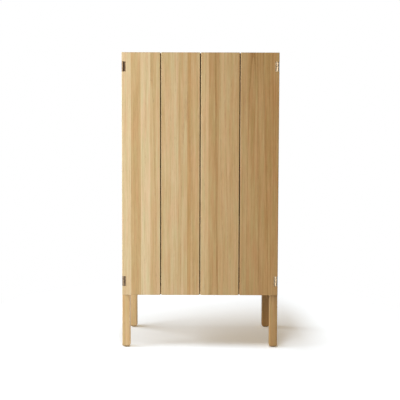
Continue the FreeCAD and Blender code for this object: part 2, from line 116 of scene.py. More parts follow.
def sums(tree, operation, *values):
    """One step of arithmetic on numbers."""
    return output(tree, "ShaderNodeMath", dict(enumerate(values)), operation=operation)


def vectors(tree, operation, *values):
    """One step of arithmetic on points."""
    return output(tree, "ShaderNodeVectorMath", dict(enumerate(values)), operation=operation)


def stretch(tree, point, scales):
    """A point with each of its three coordinates multiplied by its own number."""
    return vectors(tree, "MULTIPLY", point, scales)


def scaled(tree, point, factor):
    """A point multiplied by one number."""
    return output(tree, "ShaderNodeVectorMath", {0: point, "Scale": factor}, operation="SCALE")


def remap(tree, value, low, high, to_low=0.0, to_high=1.0, smooth=False):
    """A number moved from one range to another, held at the ends."""
    kind = "SMOOTHSTEP" if smooth else "LINEAR"
    inputs = {0: value, 1: low, 2: high, 3: to_low, 4: to_high}
    return output(tree, "ShaderNodeMapRange", inputs, interpolation_type=kind)


def mixed(tree, factor, first, second, mode="MIX"):
    """Two colours mixed by a factor. A Mix node keeps colours at inputs 6 and 7 and output 2."""
    inputs = {0: factor, 6: first, 7: second}
    return add(tree, "ShaderNodeMix", inputs, data_type="RGBA", blend_type=mode).outputs[2]


def noise(tree, point, detail=2.0, roughness=0.5, scale=1.0):
    """Soft noise around 0.5."""
    inputs = {"Vector": point, "Scale": scale, "Detail": detail, "Roughness": roughness}
    return output(tree, "ShaderNodeTexNoise", inputs)


def colour_ramp(tree, value, stops, interpolation="LINEAR"):
    """A colour ramp through (place, colour) stops."""
    made = add(tree, "ShaderNodeValToRGB", {0: value})
    ramp = made.color_ramp
    ramp.interpolation = interpolation
    while len(ramp.elements) < len(stops):
        ramp.elements.new(1.0)
    for element, (place, colour) in zip(ramp.elements, stops):
        element.position = place
        element.color = (*colour, 1.0)[:4]
    return made.outputs


def add_sockets(tree, way, kind, *names):
    """Give a node group named inputs or outputs of one kind."""
    for name in names:
        tree.interface.new_socket(name, in_out=way, socket_type="NodeSocket" + kind)


print("helpers ready")

# %% [markdown]
# ## Helpers for materials
# Every material here starts in the same way: a Principled shader, and the point on the surface in the
# object's own coordinates, so that a finish stays on its piece when a door swings. Small relief such as
# pores, brushing and hairs is a bump, because it is too fine to model.

# %% Helpers for materials
def new_material(name):
    """An empty material, its tree and its Principled shader."""
    material = bpy.data.materials.new(name)
    material.use_nodes = True
    shader = material.node_tree.nodes["Principled BSDF"]
    return material, material.node_tree, shader


def object_place(tree):
    """The point on the surface, in the object's own coordinates."""
    return add(tree, "ShaderNodeTexCoord").outputs["Object"]


def emboss(tree, shader, height, depth, strength):
    """Give a shader small relief from a height."""
    inputs = {"Height": height, "Distance": depth, "Strength": strength}
    fill(tree, shader.inputs["Normal"], output(tree, "ShaderNodeBump", inputs))


def paint(node, material):
    """Give a frame node one material in place of its plain one."""
    slots = nodes[node].data.materials
    slots.clear()
    slots.append(material)


print("frame materials:", sorted({nodes[node].data.materials[0].name for node in nodes}))

# %% [markdown]
# ## Studio light
# The doors are brightest at the left and darken evenly to the right, with little change from top to
# bottom. A tall softbox at the left front does that, and it lays a pale sheen on the left boards too.
# A second one, higher at the side, lights the top and the left side, a third lights the back from the
# right, and a weak even world fills the rest. The third stays out of reflections, or the top would
# mirror it and turn white when it is seen from the left.

# %% Studio light
AIM = Vector((0.0, 0.0, 0.75))
WORLD_FILL = 0.16
WHITE = (1.0, 1.0, 1.0, 1.0)


def softbox(name, place, target, width, height, watts):
    """A rectangular lamp that faces a target."""
    data = bpy.data.lights.new(name, "AREA")
    data.shape = "RECTANGLE"
    data.size, data.size_y = width, height
    data.energy = watts
    lamp = new_object(name, data)
    lamp.location = place
    lamp.rotation_euler = (target - Vector(place)).to_track_quat("-Z", "Y").to_euler()
    return lamp


def seen_directly(tree):
    """1 for the rays that the camera sends, and 0 for the rays that carry light."""
    return add(tree, "ShaderNodeLightPath").outputs["Is Camera Ray"]


key_lamp = softbox("key_softbox", (-2.6, -2.1, 1.1), AIM, width=1.4, height=1.8, watts=121)
side_lamp = softbox("side_softbox", (-2.6, -1.2, 2.6), AIM, width=1.2, height=1.2, watts=60)
rear_lamp = softbox("rear_softbox", (2.4, 1.9, 1.7), AIM, width=1.4, height=1.6, watts=70)
rear_lamp.visible_glossy = False

world = bpy.data.worlds.new("studio")
bpy.context.scene.world = world
world.use_nodes = True
sky = world.node_tree
backdrop = sky.nodes["Background"].inputs
fill(sky, backdrop["Strength"], remap(sky, seen_directly(sky), 0.0, 1.0, WORLD_FILL, 1.0))
fill(sky, backdrop["Color"], WHITE)
print("lamps:", [lamp.name for lamp in bpy.data.lights])

# %% [markdown]
# ## Floor
# The floor is a plain pale sheet that keeps the shadow, and further out it turns to pure white for the
# camera, so its edge melts into the background. Rays that carry light meet a darker floor, or it would
# throw too much light up at the case. Where no lamp reaches, the floor keeps a warm glow, the light
# that the wood throws back.

# %% Floor
FLOOR_HALF = 8.0
FLOOR_CORNERS = ((-1, -1), (1, -1), (1, 1), (-1, 1))
SHADOW_REACH = 0.75
WHITE_FROM = 1.5
FLOOR_COLOUR = (0.4, 0.4, 0.4, 1.0)
FLOOR_SEEN_COLOUR = (0.75, 0.855, 0.97, 1.0)
GLOW_COLOUR = (0.335, 0.262, 0.172, 1.0)


def floor_material():
    """A matt sheet with a glow, which fades to white for the camera."""
    material, tree, shader = new_material("floor_paint")
    distance = add(tree, "ShaderNodeVectorMath", {0: object_place(tree)}, operation="LENGTH")
    far = remap(tree, distance.outputs["Value"], SHADOW_REACH, WHITE_FROM, smooth=True)
    seen = seen_directly(tree)
    colour = mixed(tree, seen, FLOOR_COLOUR, FLOOR_SEEN_COLOUR)
    matt = output(tree, "ShaderNodeBsdfDiffuse", {"Color": colour})
    glow = output(tree, "ShaderNodeEmission", {"Color": GLOW_COLOUR, "Strength": seen})
    glowing = output(tree, "ShaderNodeAddShader", {0: matt, 1: glow})
    white = output(tree, "ShaderNodeEmission", {"Color": WHITE, "Strength": 1.0})
    share = sums(tree, "MULTIPLY", far, seen)
    surface = output(tree, "ShaderNodeMixShader", {0: share, 1: glowing, 2: white})
    fill(tree, tree.nodes["Material Output"].inputs["Surface"], surface)
    tree.nodes.remove(shader)
    return material


floor_mesh = bpy.data.meshes.new("floor")
floor_points = [(x * FLOOR_HALF, y * FLOOR_HALF, 0.0) for x, y in FLOOR_CORNERS]
floor_mesh.from_pydata(floor_points, [], [(0, 1, 2, 3)])
floor_mesh.materials.append(floor_material())
floor = new_object("floor", floor_mesh)
print("floor is", 2 * FLOOR_HALF, "m wide")

# %% [markdown]
# ## Light for the floor
# In the photograph the floor is dark only under the case and just right of it, and the shadow's edges
# are soft. Two lamps that light the floor alone give that: one above, long from front to back, and one
# low at the left, which reaches in between the legs. Light linking sets which lamp lights what, so the
# softboxes leave the floor alone, and the shadow can be set without changing the light on the doors.

# %% Light for the floor
FLOOR_MIDDLE = Vector((0.0, 0.0, 0.0))
LAMP_ABOVE = Vector((-0.1, -0.7, 4.5))
UNDER_LAMP = Vector((-0.1, -0.7, 0.0))
LAMP_LEFT = (-2.07, 0.14, 1.0)

floor_group = bpy.data.collections.new("floor_group")
floor_group.objects.link(floor)
others = bpy.data.collections.new("all_but_floor")
others.objects.link(floor)
others.collection_objects[0].light_linking.link_state = "EXCLUDE"
above = softbox("floor_lamp_above", LAMP_ABOVE, UNDER_LAMP, width=0.45, height=2.05, watts=178)
left = softbox("floor_lamp_left", LAMP_LEFT, FLOOR_MIDDLE, width=1.8, height=0.95, watts=46)
for lamp in (above, left):
    lamp.light_linking.receiver_collection = floor_group
for lamp in (key_lamp, side_lamp, rear_lamp):
    lamp.light_linking.receiver_collection = others
print("floor lamps:", above.name, left.name)

# %% [markdown]
# ## Light for the left leg
# The inner side of the front left leg faces away from the softboxes and would be a dark strip. In the
# photograph it is almost as light as the leg's front, because a pale room throws light back. A small
# lamp low at the right stands in for that light, and is linked to this one post.

# %% Light for the left leg
LEG_LAMP_PLACE = (1.6, -0.28, 0.2)
LEG_PLACE = Vector((-0.4, -0.17, 0.2))

leg_lamp = softbox("leg_lamp", LEG_LAMP_PLACE, LEG_PLACE, width=0.5, height=0.4, watts=25)
left_leg = bpy.data.collections.new("left_leg")
left_leg.objects.link(nodes["post_front_left"])
leg_lamp.light_linking.receiver_collection = left_leg
print("leg lamp:", leg_lamp.data.energy, "watts")

# %% [markdown]
# ## The figure of oak
# Oak shows several layers at once: growth rings, broad streaks, fine fibres and short dark pores.
# One node group makes all of them from a point whose Z runs along the grain. Because it is solid
# texture, the rings on an edge and on an end meet those on the face, as in a real board. All layers
# but the rings are noise, and three numbers say how often each changes in a metre across, through and
# along the grain. The rings are a Wave texture, which at a scale of 1 repeats after WAVE_SPACING.

# %% The figure of oak
NOISE_MIDDLE = 0.5
BROAD_GRAIN = (22.0, 22.0, 0.7)
STREAK_GRAIN = (120.0, 120.0, 5.0)
FIBRE_GRAIN = (900.0, 900.0, 24.0)
HUE_GRAIN = (70.0, 70.0, 6.0)
PORE_GRAIN = (2100.0, 2100.0, 40.0)
BROAD_WEIGHT = 0.26
STREAK_WEIGHT = 0.30
FIBRE_WEIGHT = 0.16
STAVE_SHIFT = (7.3, 2.9, 11.7)
PITH_BEHIND = 0.055
RING_SPACING = 0.006
RING_STRETCH = (1.0, 1.0, 0.02)
WAVE_SPACING = math.tau / 20
RING_WAVES = {
    "Scale": WAVE_SPACING / RING_SPACING,
    "Distortion": 22.0,
    "Detail": 2.0,
    "Detail Scale": 0.12,
    "Detail Roughness": 0.45,
}
RING_KIND = {"wave_type": "RINGS", "rings_direction": "SPHERICAL", "wave_profile": "SAW"}
EARLY_SHARE = 0.4
EARLY_TONE = -0.025
EARLY_TONE_EXTRA = -0.075
PORE_RANGE = (0.56, 0.68)
PORES_IN_LATE = 0.2
PORES_EARLY_EXTRA = 0.8
PORE_HEIGHT = -0.8
FIBRE_HEIGHT = 0.5


def growth_rings(tree, given):
    """1 in the early wood of each ring round the pith, falling to 0 in the late wood."""
    aside = sums(tree, "MULTIPLY", given["Heart"], -1.0)
    offset = output(tree, "ShaderNodeCombineXYZ", {0: aside, 1: PITH_BEHIND, 2: given["Stave"]})
    centred = vectors(tree, "ADD", given["Point"], offset)
    waves = {"Vector": stretch(tree, centred, RING_STRETCH), **RING_WAVES}
    rings = add(tree, "ShaderNodeTexWave", waves, **RING_KIND).outputs["Fac"]
    return remap(tree, rings, 0.0, EARLY_SHARE, 1.0, 0.0, smooth=True)


def make_oak_figure():
    """A group that turns a point into a tone, pores and height of oak."""
    tree = bpy.data.node_groups.new("oak_figure", "ShaderNodeTree")
    add_sockets(tree, "INPUT", "Vector", "Point")
    add_sockets(tree, "INPUT", "Float", "Stave", "Heart", "Figure")
    add_sockets(tree, "OUTPUT", "Float", "Tone", "Pores", "Height", "Streak", "Drift")
    given = add(tree, "NodeGroupInput").outputs
    point = vectors(tree, "ADD", given["Point"], scaled(tree, STAVE_SHIFT, given["Stave"]))

    broad = noise(tree, stretch(tree, point, BROAD_GRAIN))
    streak = noise(tree, stretch(tree, point, STREAK_GRAIN), detail=3.0, roughness=0.6)
    fibre = noise(tree, stretch(tree, point, FIBRE_GRAIN))
    hue_drift = noise(tree, stretch(tree, point, HUE_GRAIN))
    dashes = noise(tree, stretch(tree, point, PORE_GRAIN), detail=1.0)
    early = growth_rings(tree, given)
    pore_share = sums(tree, "MULTIPLY_ADD", early, PORES_EARLY_EXTRA, PORES_IN_LATE)
    pores = sums(tree, "MULTIPLY", remap(tree, dashes, *PORE_RANGE), pore_share)

    tone = 0.0
    for layer, weight in ((broad, BROAD_WEIGHT), (streak, STREAK_WEIGHT), (fibre, FIBRE_WEIGHT)):
        tone = sums(tree, "MULTIPLY_ADD", sums(tree, "SUBTRACT", layer, NOISE_MIDDLE), weight, tone)
    contrast = sums(tree, "MULTIPLY_ADD", given["Figure"], EARLY_TONE_EXTRA, EARLY_TONE)
    tone = sums(tree, "MULTIPLY_ADD", early, contrast, tone)
    fibres = sums(tree, "MULTIPLY", fibre, FIBRE_HEIGHT)
    height = sums(tree, "MULTIPLY_ADD", pores, PORE_HEIGHT, fibres)

    results = {"Tone": tone, "Pores": pores, "Height": height, "Streak": streak, "Drift": hue_drift}
    add(tree, "NodeGroupOutput", results)
    return tree


oak_figure = make_oak_figure()
print("oak figure:", len(oak_figure.nodes), "nodes")

# %% [markdown]
# ## Oak boards from staves
# Each board is glued up from narrower staves, and every stave came from another tree: some are pale,
# some tan, some reddish. A constant colour ramp across the board stores each stave's tone, warmth, ring
# strength and a number of its own, which shifts the figure so that no two staves repeat. Along the
# board's edges the wood is a little smoother, where hands and cloths have rubbed it, and a little paler,
# partly from that wear and partly as a painted highlight where the rounded edges catch the light.

# %% Oak boards from staves
OAK_COLOURS = (
    (0.0, (0.150, 0.076, 0.026)),
    (0.3, (0.345, 0.198, 0.066)),
    (0.5, (0.482, 0.334, 0.157)),
    (0.7, (0.606, 0.482, 0.292)),
    (1.0, (0.760, 0.665, 0.470)),
)
WARM_TINT = (1.06, 0.95, 0.84, 1.0)
GREY_TINT = (0.97, 1.01, 1.04, 1.0)
OLIVE_TINT = (0.97, 1.02, 0.965, 1.0)
ROSY_TINT = (1.045, 0.955, 0.935, 1.0)
PORE_COLOUR = (0.20, 0.115, 0.05, 1.0)
PORE_DARKNESS = 0.55
PORE_ROUGHNESS = 0.2
PORE_DEPTH = 0.0004
PORE_RELIEF = 0.5
OAK_ROUGHNESS = (0.42, 0.54)
NOISE_RANGE = (0.3, 0.7)
HEART_RANGE = (-0.5, 1.5)
EDGE_WIDTH = 0.003
EDGE_WEAR_AND_HIGHLIGHT = 0.06
EDGE_ROUGHNESS = -0.12


def edge_of(tree, place, low, high):
    """1 on a board's edges and 0 further in. Near an edge, two of the three depths are small."""
    under = vectors(tree, "SUBTRACT", place, tuple(low))
    over = vectors(tree, "SUBTRACT", tuple(high), place)
    near = add(tree, "ShaderNodeSeparateXYZ", {0: vectors(tree, "MINIMUM", under, over)}).outputs
    larger = sums(tree, "MAXIMUM", near["X"], near["Y"])
    smaller = sums(tree, "MINIMUM", near["X"], near["Y"])
    second = sums(tree, "MAXIMUM", smaller, sums(tree, "MINIMUM", larger, near["Z"]))
    return remap(tree, second, 0.0, EDGE_WIDTH, 1.0, 0.0)


def oak_material(name, low, high, axes, staves, heart=None):
    """Oak for one board. axes names its directions across, through and along the grain."""
    material, tree, shader = new_material(name)
    place = object_place(tree)
    split = add(tree, "ShaderNodeSeparateXYZ", {0: place}).outputs
    point = output(tree, "ShaderNodeCombineXYZ", {i: split[axis] for i, axis in enumerate(axes)})
    across = "XYZ".index(axes[0])
    share = remap(tree, split[axes[0]], low[across], high[across])
    chooser = random.Random(name)
    stops = [(start, (tone, warmth, chooser.random(), rings)) for start, tone, warmth, rings in staves]
    ramp = colour_ramp(tree, share, stops, "CONSTANT")
    stave = add(tree, "ShaderNodeSeparateColor", {0: ramp["Color"]}).outputs
    if heart is None:
        heart = low[across] + chooser.uniform(*HEART_RANGE) * (high[across] - low[across])
    inputs = {"Point": point, "Stave": stave["Blue"], "Heart": heart, "Figure": ramp["Alpha"]}
    figure = add(tree, "ShaderNodeGroup", inputs, node_tree=oak_figure).outputs
    rubbed_and_highlit = sums(tree, "MULTIPLY", edge_of(tree, place, low, high), figure["Streak"])

    tone = sums(tree, "ADD", stave["Red"], figure["Tone"])
    # Paler along the edges: partly rubbed wear, partly a painted highlight on the rounded edges.
    tone = sums(tree, "MULTIPLY_ADD", rubbed_and_highlit, EDGE_WEAR_AND_HIGHLIGHT, tone)
    colour = colour_ramp(tree, tone, OAK_COLOURS)["Color"]
    warmth = mixed(tree, stave["Green"], GREY_TINT, WARM_TINT)
    colour = mixed(tree, 1.0, colour, warmth, "MULTIPLY")
    hue = mixed(tree, remap(tree, figure["Drift"], *NOISE_RANGE), OLIVE_TINT, ROSY_TINT)
    colour = mixed(tree, 1.0, colour, hue, "MULTIPLY")
    pores = sums(tree, "MULTIPLY", figure["Pores"], PORE_DARKNESS)
    fill(tree, shader.inputs["Base Color"], mixed(tree, pores, colour, PORE_COLOUR))

    rough = remap(tree, figure["Streak"], *NOISE_RANGE, *OAK_ROUGHNESS)
    rough = sums(tree, "MULTIPLY_ADD", figure["Pores"], PORE_ROUGHNESS, rough)
    rough = sums(tree, "MULTIPLY_ADD", rubbed_and_highlit, EDGE_ROUGHNESS, rough)
    fill(tree, shader.inputs["Roughness"], rough)
    emboss(tree, shader, figure["Height"], PORE_DEPTH, PORE_RELIEF)
    return material


def dress(node, axes, staves, heart=None):
    """Give a wooden node its own oak."""
    low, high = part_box(node)
    paint(node, oak_material("oak_" + node, low, high, axes, staves, heart))


wooden = [node for node in nodes if nodes[node].data.materials[0].name == "oak"]
print("oak nodes:", len(wooden))

# %% [markdown]
# ## Staves for the doors and posts
# The doors and posts follow the photograph. Each row is one stave: where it starts across its
# board as a share of the width, its tone, its warmth, and how strongly its rings show. Two doors show
# wide arches of grain, so the heart of their tree, measured from the cabinet's middle, is given too.

# %% Staves for the doors and posts
UPRIGHT = ("X", "Y", "Z")
# The tones and warmths below are partly each stave's own and partly painted shade: from the left doors
# to the right ones they grow darker and warmer, and the right posts are darker and warmer than the left
# ones, standing for light that falls off to the right and for shade under the case.
SHOWN_STAVES = {
    "door_outer_left": [
        (0.0, 0.67, 0.35, 0.1),
        (0.237, 0.52, 0.40, 0.3),
        (0.49, 0.68, 0.33, 0.1),
        (0.74, 0.53, 0.40, 0.2),
        (0.88, 0.56, 0.40, 0.1),
    ],
    "door_inner_left": [
        (0.0, 0.58, 0.50, 0.1),
        (0.24, 0.61, 0.45, 0.2),
        (0.44, 0.585, 0.50, 0.4),
        (0.672, 0.50, 0.95, 0.2),
        (0.762, 0.54, 0.65, 0.2),
    ],
    "door_inner_right": [
        (0.0, 0.61, 0.80, 0.1),
        (0.20, 0.46, 0.60, 1.0),
        (0.46, 0.55, 0.70, 0.2),
        (0.94, 0.50, 0.70, 0.1),
    ],
    "door_outer_right": [
        (0.0, 0.46, 0.60, 0.2),
        (0.17, 0.435, 0.75, 1.0),
        (0.38, 0.445, 0.80, 0.9),
        (0.63, 0.437, 1.00, 0.8),
    ],
    "post_front_left": [(0.0, 0.53, 0.60, 0.2)],
    "post_front_right": [(0.0, 0.42, 0.80, 0.3)],
    "post_rear_left": [(0.0, 0.56, 0.80, 0.2)],
    "post_rear_right": [(0.0, 0.38, 1.00, 0.3)],
}
DOOR_HEARTS = {"door_inner_right": 0.075, "door_outer_right": 0.29}

for node, staves in SHOWN_STAVES.items():
    dress(node, UPRIGHT, staves, DOOR_HEARTS.get(node))
print("doors and posts:", len(SHOWN_STAVES))

# %% [markdown]
# ## Staves for the case
# The photograph does not show the other boards, so each gets a row of uneven staves from a fixed seed,
# its own name. The grain of a board runs along its length, and so each kind of board names which
# directions run across, through and along it, and how many staves it is glued from.

# %% Staves for the case
SIDEWAYS = ("Y", "X", "Z")
LYING = ("Y", "Z", "X")
ON_EDGE = ("Z", "Y", "X")
RUNNING_BACK = ("X", "Z", "Y")
CASE_BOARDS = {
    "side_panel": (SIDEWAYS, 5),
    "back_board": (UPRIGHT, 3),
    "back_rail": (ON_EDGE, 1),
    "front_rail": (ON_EDGE, 1),
    "bottom_bearer": (RUNNING_BACK, 1),
    "bottom_panel": (LYING, 6),
    "top_panel": (LYING, 6),
    "shelf": (LYING, 5),
}
CASE_TONE = 0.55
CASE_TONE_SPREAD = 0.09
CASE_WARMTH = (0.3, 0.8)
START_SPREAD = 0.25


def mixed_staves(name, count):
    """A fixed but uneven row of staves for a board that the photograph does not show."""
    chooser = random.Random(name)
    starts = [0.0]
    for i in range(1, count):
        starts.append((i + chooser.uniform(-START_SPREAD, START_SPREAD)) / count)
    rows = []
    for start in starts:
        tone = CASE_TONE + chooser.uniform(-CASE_TONE_SPREAD, CASE_TONE_SPREAD)
        warmth = chooser.uniform(*CASE_WARMTH)
        rings = chooser.random() ** 2
        rows.append((start, tone, warmth, rings))
    return rows


case_boards = [node for node in wooden if node not in SHOWN_STAVES]
for node in case_boards:
    axes, count = next(CASE_BOARDS[kind] for kind in CASE_BOARDS if node.startswith(kind))
    dress(node, axes, mixed_staves(node, count))
print("case boards:", len(case_boards))

# %% [markdown]
# ## Steel
# The hinges are browned steel, and the pins and strikes are bright. Brushing leaves fine level lines, so
# the roughness and the bump come from noise that changes ten times faster upwards than sideways. The
# nickel of the magnets is tumbled, and its noise is the same in every direction.

# %% Steel
BROWNED_COLOUR = (0.175, 0.110, 0.062)
BRIGHT_COLOUR = (0.56, 0.53, 0.49)
NICKEL_COLOUR = (0.66, 0.63, 0.58)
BRUSHED = (400.0, 400.0, 4000.0)
TUMBLED = (900.0, 900.0, 900.0)
BRUSH_DEPTH = 0.00006
BRUSH_RELIEF = 0.6
BRUSH_WEIGHT = 0.5
CLOUD_SCALE = 90.0
TARNISH_RANGE = (0.55, 0.95)
TARNISH_SHADE = 0.72
POLISHED = 0.07
SCUFFED = 0.09


def metal_material(name, colour, roughness, lines):
    """Metal with fine marks. lines says how often they change in a metre along each axis."""
    material, tree, shader = new_material(name)
    place = object_place(tree)
    marks = noise(tree, stretch(tree, place, lines), detail=3.0, roughness=0.6)
    cloudy = noise(tree, place, detail=3.0, scale=CLOUD_SCALE)
    tarnished = tuple(TARNISH_SHADE * part for part in colour)
    clean = remap(tree, sums(tree, "MULTIPLY_ADD", marks, BRUSH_WEIGHT, cloudy), *TARNISH_RANGE)
    fill(tree, shader.inputs["Base Color"], mixed(tree, clean, (*tarnished, 1.0), (*colour, 1.0)))
    rough = remap(tree, marks, *NOISE_RANGE, roughness - POLISHED, roughness + SCUFFED)
    fill(tree, shader.inputs["Roughness"], rough)
    fill(tree, shader.inputs["Metallic"], 1.0)
    emboss(tree, shader, marks, BRUSH_DEPTH, BRUSH_RELIEF)
    return material


hinge_brown = metal_material("hinge_brown", BROWNED_COLOUR, roughness=0.58, lines=BRUSHED)
bright_steel = metal_material("bright_steel", BRIGHT_COLOUR, roughness=0.33, lines=BRUSHED)
nickel = metal_material("nickel", NICKEL_COLOUR, roughness=0.2, lines=TUMBLED)
browned = [node for node in nodes if nodes[node].data.materials[0].name == "browned_steel"]
for node in browned:
    paint(node, hinge_brown)
print("browned steel nodes:", len(browned))

# %% [markdown]
# ## Cards for the hinges
# Metal shows little but what it mirrors, so each outer hinge gets bright cards of its own, as a
# photographer would place them: one at the left, which draws a line down the barrel, and for three
# hinges one in front, for the flat of the leaf. Each row names the hinge and gives the place, the height
# and the watts of a card.

# %% Cards for the hinges
LEFT_CARD = (-2.6, -2.4)
FRONT_CARD = (0.85, -3.05)
CARD_SIZE = 1.3
CARD_COLOUR = (0.72, 0.88, 1.0)
HINGE_CARDS = (
    ("upper_left", LEFT_CARD, 1.95, 90),
    ("upper_right", LEFT_CARD, 1.95, 600),
    ("upper_right", FRONT_CARD, 1.79, 130),
    ("lower_left", LEFT_CARD, 0.35, 60),
    ("lower_left", FRONT_CARD, 0.35, 230),
    ("lower_right", LEFT_CARD, 0.35, 950),
    ("lower_right", FRONT_CARD, 0.35, 130),
)

for hinge, stand, level, watts in HINGE_CARDS:
    card = softbox(hinge + "_card", (*stand, level), AIM, CARD_SIZE, CARD_SIZE, watts)
    card.data.color = CARD_COLOUR
    lit = bpy.data.collections.new(hinge + "_lit")
    for node in browned:
        if hinge in node and "fold" not in node:
            lit.objects.link(nodes[node])
    card.light_linking.receiver_collection = lit
print("hinge cards:", len(HINGE_CARDS))

# %% [markdown]
# ## Eased boards
# A joiner takes the sharp corner off each board before it goes in, and two eased boards meet in a
# small groove. The doors, posts and shelves of the frame have their rounds already, but the thinner
# boards are sharp boxes. Each gets a new piece: a joined copy of its solid with its corners bevelled.

# %% Eased boards
EASE = 0.0012
EASE_STEPS = 3
EASE_ROUND = 0.5
EASED_KINDS = ("back_board", "back_rail", "front_rail", "bottom_bearer", "side_panel")
JOIN_DISTANCE = 0.00001
FLAT_ANGLE = math.radians(0.5)
CORNER_ANGLE = math.radians(60)


def joined(node):
    """A working copy of a node's solid, with its loose triangles joined."""
    work = bmesh.new()
    work.from_mesh(nodes[node].data)
    bmesh.ops.remove_doubles(work, verts=work.verts, dist=JOIN_DISTANCE)
    return work


def plain_mesh(name, work):
    """A mesh with the working copy's points and faces and nothing else."""
    work.verts.index_update()
    points = [vert.co for vert in work.verts]
    faces = [[vert.index for vert in face.verts] for face in work.faces]
    mesh = bpy.data.meshes.new(name)
    mesh.from_pydata(points, [], faces)
    work.free()
    return mesh


def eased_board(node):
    """A board's solid with its outer corners taken off."""
    work = joined(node)
    bmesh.ops.dissolve_limit(work, angle_limit=FLAT_ANGLE, verts=work.verts, edges=work.edges)
    corners = [edge for edge in work.edges if edge.is_convex and edge.calc_face_angle() > CORNER_ANGLE]
    ease = {"offset": EASE, "segments": EASE_STEPS, "profile": EASE_ROUND, "affect": "EDGES"}
    bmesh.ops.bevel(work, geom=corners, **ease)
    mesh = plain_mesh(node + "_eased", work)
    mesh.materials.append(nodes[node].data.materials[0])
    return mesh


def add_piece(mesh, body, slot, *replaced):
    """A finished piece that rides on a body and stands for the frame nodes it hides. slot is not used.
    """
    piece = new_object(mesh.name, mesh)
    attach(piece, body)
    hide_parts(*replaced)


eased = [node for node in case_boards if node.startswith(EASED_KINDS)]
for node in eased:
    add_piece(eased_board(node), "carcass", "oak", node)
print("eased boards:", len(eased))

# %% [markdown]
# ## A lathe in Geometry Nodes
# Screws, shelf pins, magnets and felt glides are all turned shapes that repeat. A grid is a good blank:
# its columns become the turn round the axis and its rows step along a profile. Two curves hold the
# profile, one for the radius and one for the height, so one helper makes a tree for every turned part.
# The tree then sets a copy on each seat, a point that also knows which way the part goes in.

# %% A lathe in Geometry Nodes
CRISP_ANGLE = math.radians(32)
SEAM = 0.000001
AXIS = (0.0, 0.0, 1.0)
GRID_SIDE = 1.0


def profile_curve(tree, step, shares):
    """A number that passes through the given shares at even steps."""
    made = add(tree, "ShaderNodeFloatCurve", {"Value": step})
    curve = made.mapping.curves[0]
    last = len(shares) - 1
    for i in range(1, last):
        curve.points.new(i / last, shares[i])
    for i, share in enumerate(shares):
        curve.points[i].location = (i / last, share)
        curve.points[i].handle_type = "VECTOR"
    made.mapping.update()
    return made.outputs[0]


def turned_blank(tree, given, profile):
    """A grid bent round an axis along a profile, and closed at its seam and poles."""
    sides = {"Size X": GRID_SIDE, "Size Y": GRID_SIDE}
    counts = {"Vertices X": given["Columns"], "Vertices Y": len(profile)}
    grid = output(tree, "GeometryNodeMeshGrid", {**sides, **counts})
    place = output(tree, "GeometryNodeInputPosition")
    flat = add(tree, "ShaderNodeSeparateXYZ", {0: place}).outputs
    turn = sums(tree, "MULTIPLY", flat["X"], math.tau)
    step = sums(tree, "ADD", flat["Y"], GRID_SIDE / 2)
    radius = sums(tree, "MULTIPLY", profile_curve(tree, step, [r for r, z in profile]), given["Radius"])
    level = sums(tree, "MULTIPLY", profile_curve(tree, step, [z for r, z in profile]), given["Length"])
    east = sums(tree, "MULTIPLY", radius, sums(tree, "COSINE", turn))
    north = sums(tree, "MULTIPLY", radius, sums(tree, "SINE", turn))
    spot = output(tree, "ShaderNodeCombineXYZ", {0: east, 1: north, 2: level})
    bent = output(tree, "GeometryNodeSetPosition", {"Geometry": grid, "Position": spot})
    return output(tree, "GeometryNodeMergeByDistance", {"Geometry": bent, "Distance": SEAM})


def seat_rotation(tree, given):
    """Each part faces the way its seat aims, and is spun about its axis by chance."""
    aim = output(tree, "GeometryNodeInputNamedAttribute", {"Name": "aim"}, data_type="FLOAT_VECTOR")
    facing = output(tree, "FunctionNodeAlignRotationToVector", {"Vector": aim}, axis="Z")
    chance = add(tree, "FunctionNodeRandomValue", {"Seed": given["Seed"]}, data_type="FLOAT")
    spin = sums(tree, "MULTIPLY", chance.outputs[1], math.tau)
    about = output(tree, "FunctionNodeAxisAngleToRotation", {"Axis": AXIS, "Angle": spin})
    turn = {"Rotation": facing, "Rotate By": about}
    return output(tree, "FunctionNodeRotateRotation", turn, rotation_space="LOCAL")


def turned_tree(name, profile, material, sizes=(), cut=None, rub=None):
    """A tree that sets a turned part on each seat. cut shapes the blank, rub the parts in place."""
    tree = bpy.data.node_groups.new(name, "GeometryNodeTree")
    add_sockets(tree, "INPUT", "Geometry", "Seats")
    add_sockets(tree, "INPUT", "Float", "Radius", "Length", *sizes)
    add_sockets(tree, "INPUT", "Int", "Columns", "Seed")
    add_sockets(tree, "OUTPUT", "Geometry", "Parts")
    given = add(tree, "NodeGroupInput").outputs
    blank = turned_blank(tree, given, profile)
    if cut:
        blank = cut(tree, given, blank)
    angle = add(tree, "GeometryNodeInputMeshEdgeAngle").outputs["Unsigned Angle"]
    edges = {"Geometry": blank, "Shade Smooth": sums(tree, "LESS_THAN", angle, CRISP_ANGLE)}
    blank = output(tree, "GeometryNodeSetShadeSmooth", edges, domain="EDGE")
    copies = {"Points": given["Seats"], "Instance": blank, "Rotation": seat_rotation(tree, given)}
    parts = output(tree, "GeometryNodeInstanceOnPoints", copies)
    parts = output(tree, "GeometryNodeRealizeInstances", {"Geometry": parts})
    if rub:
        parts = rub(tree, given, parts)
    parts = output(tree, "GeometryNodeSetMaterial", {"Geometry": parts, "Material": material})
    add(tree, "NodeGroupOutput", {"Parts": parts})
    return tree


print("lathe ready, with smooth edges below", round(math.degrees(CRISP_ANGLE)), "degrees")

# %% [markdown]
# ## Seats for the turned parts
# A turned part has to sit exactly where the frame has its plain solid. So each solid in a node is found
# by walking from point to point along its edges, and its box gives the seat and how long and wide the
# part may be. The tree runs as a modifier on those seats, and its result is kept as a plain mesh.

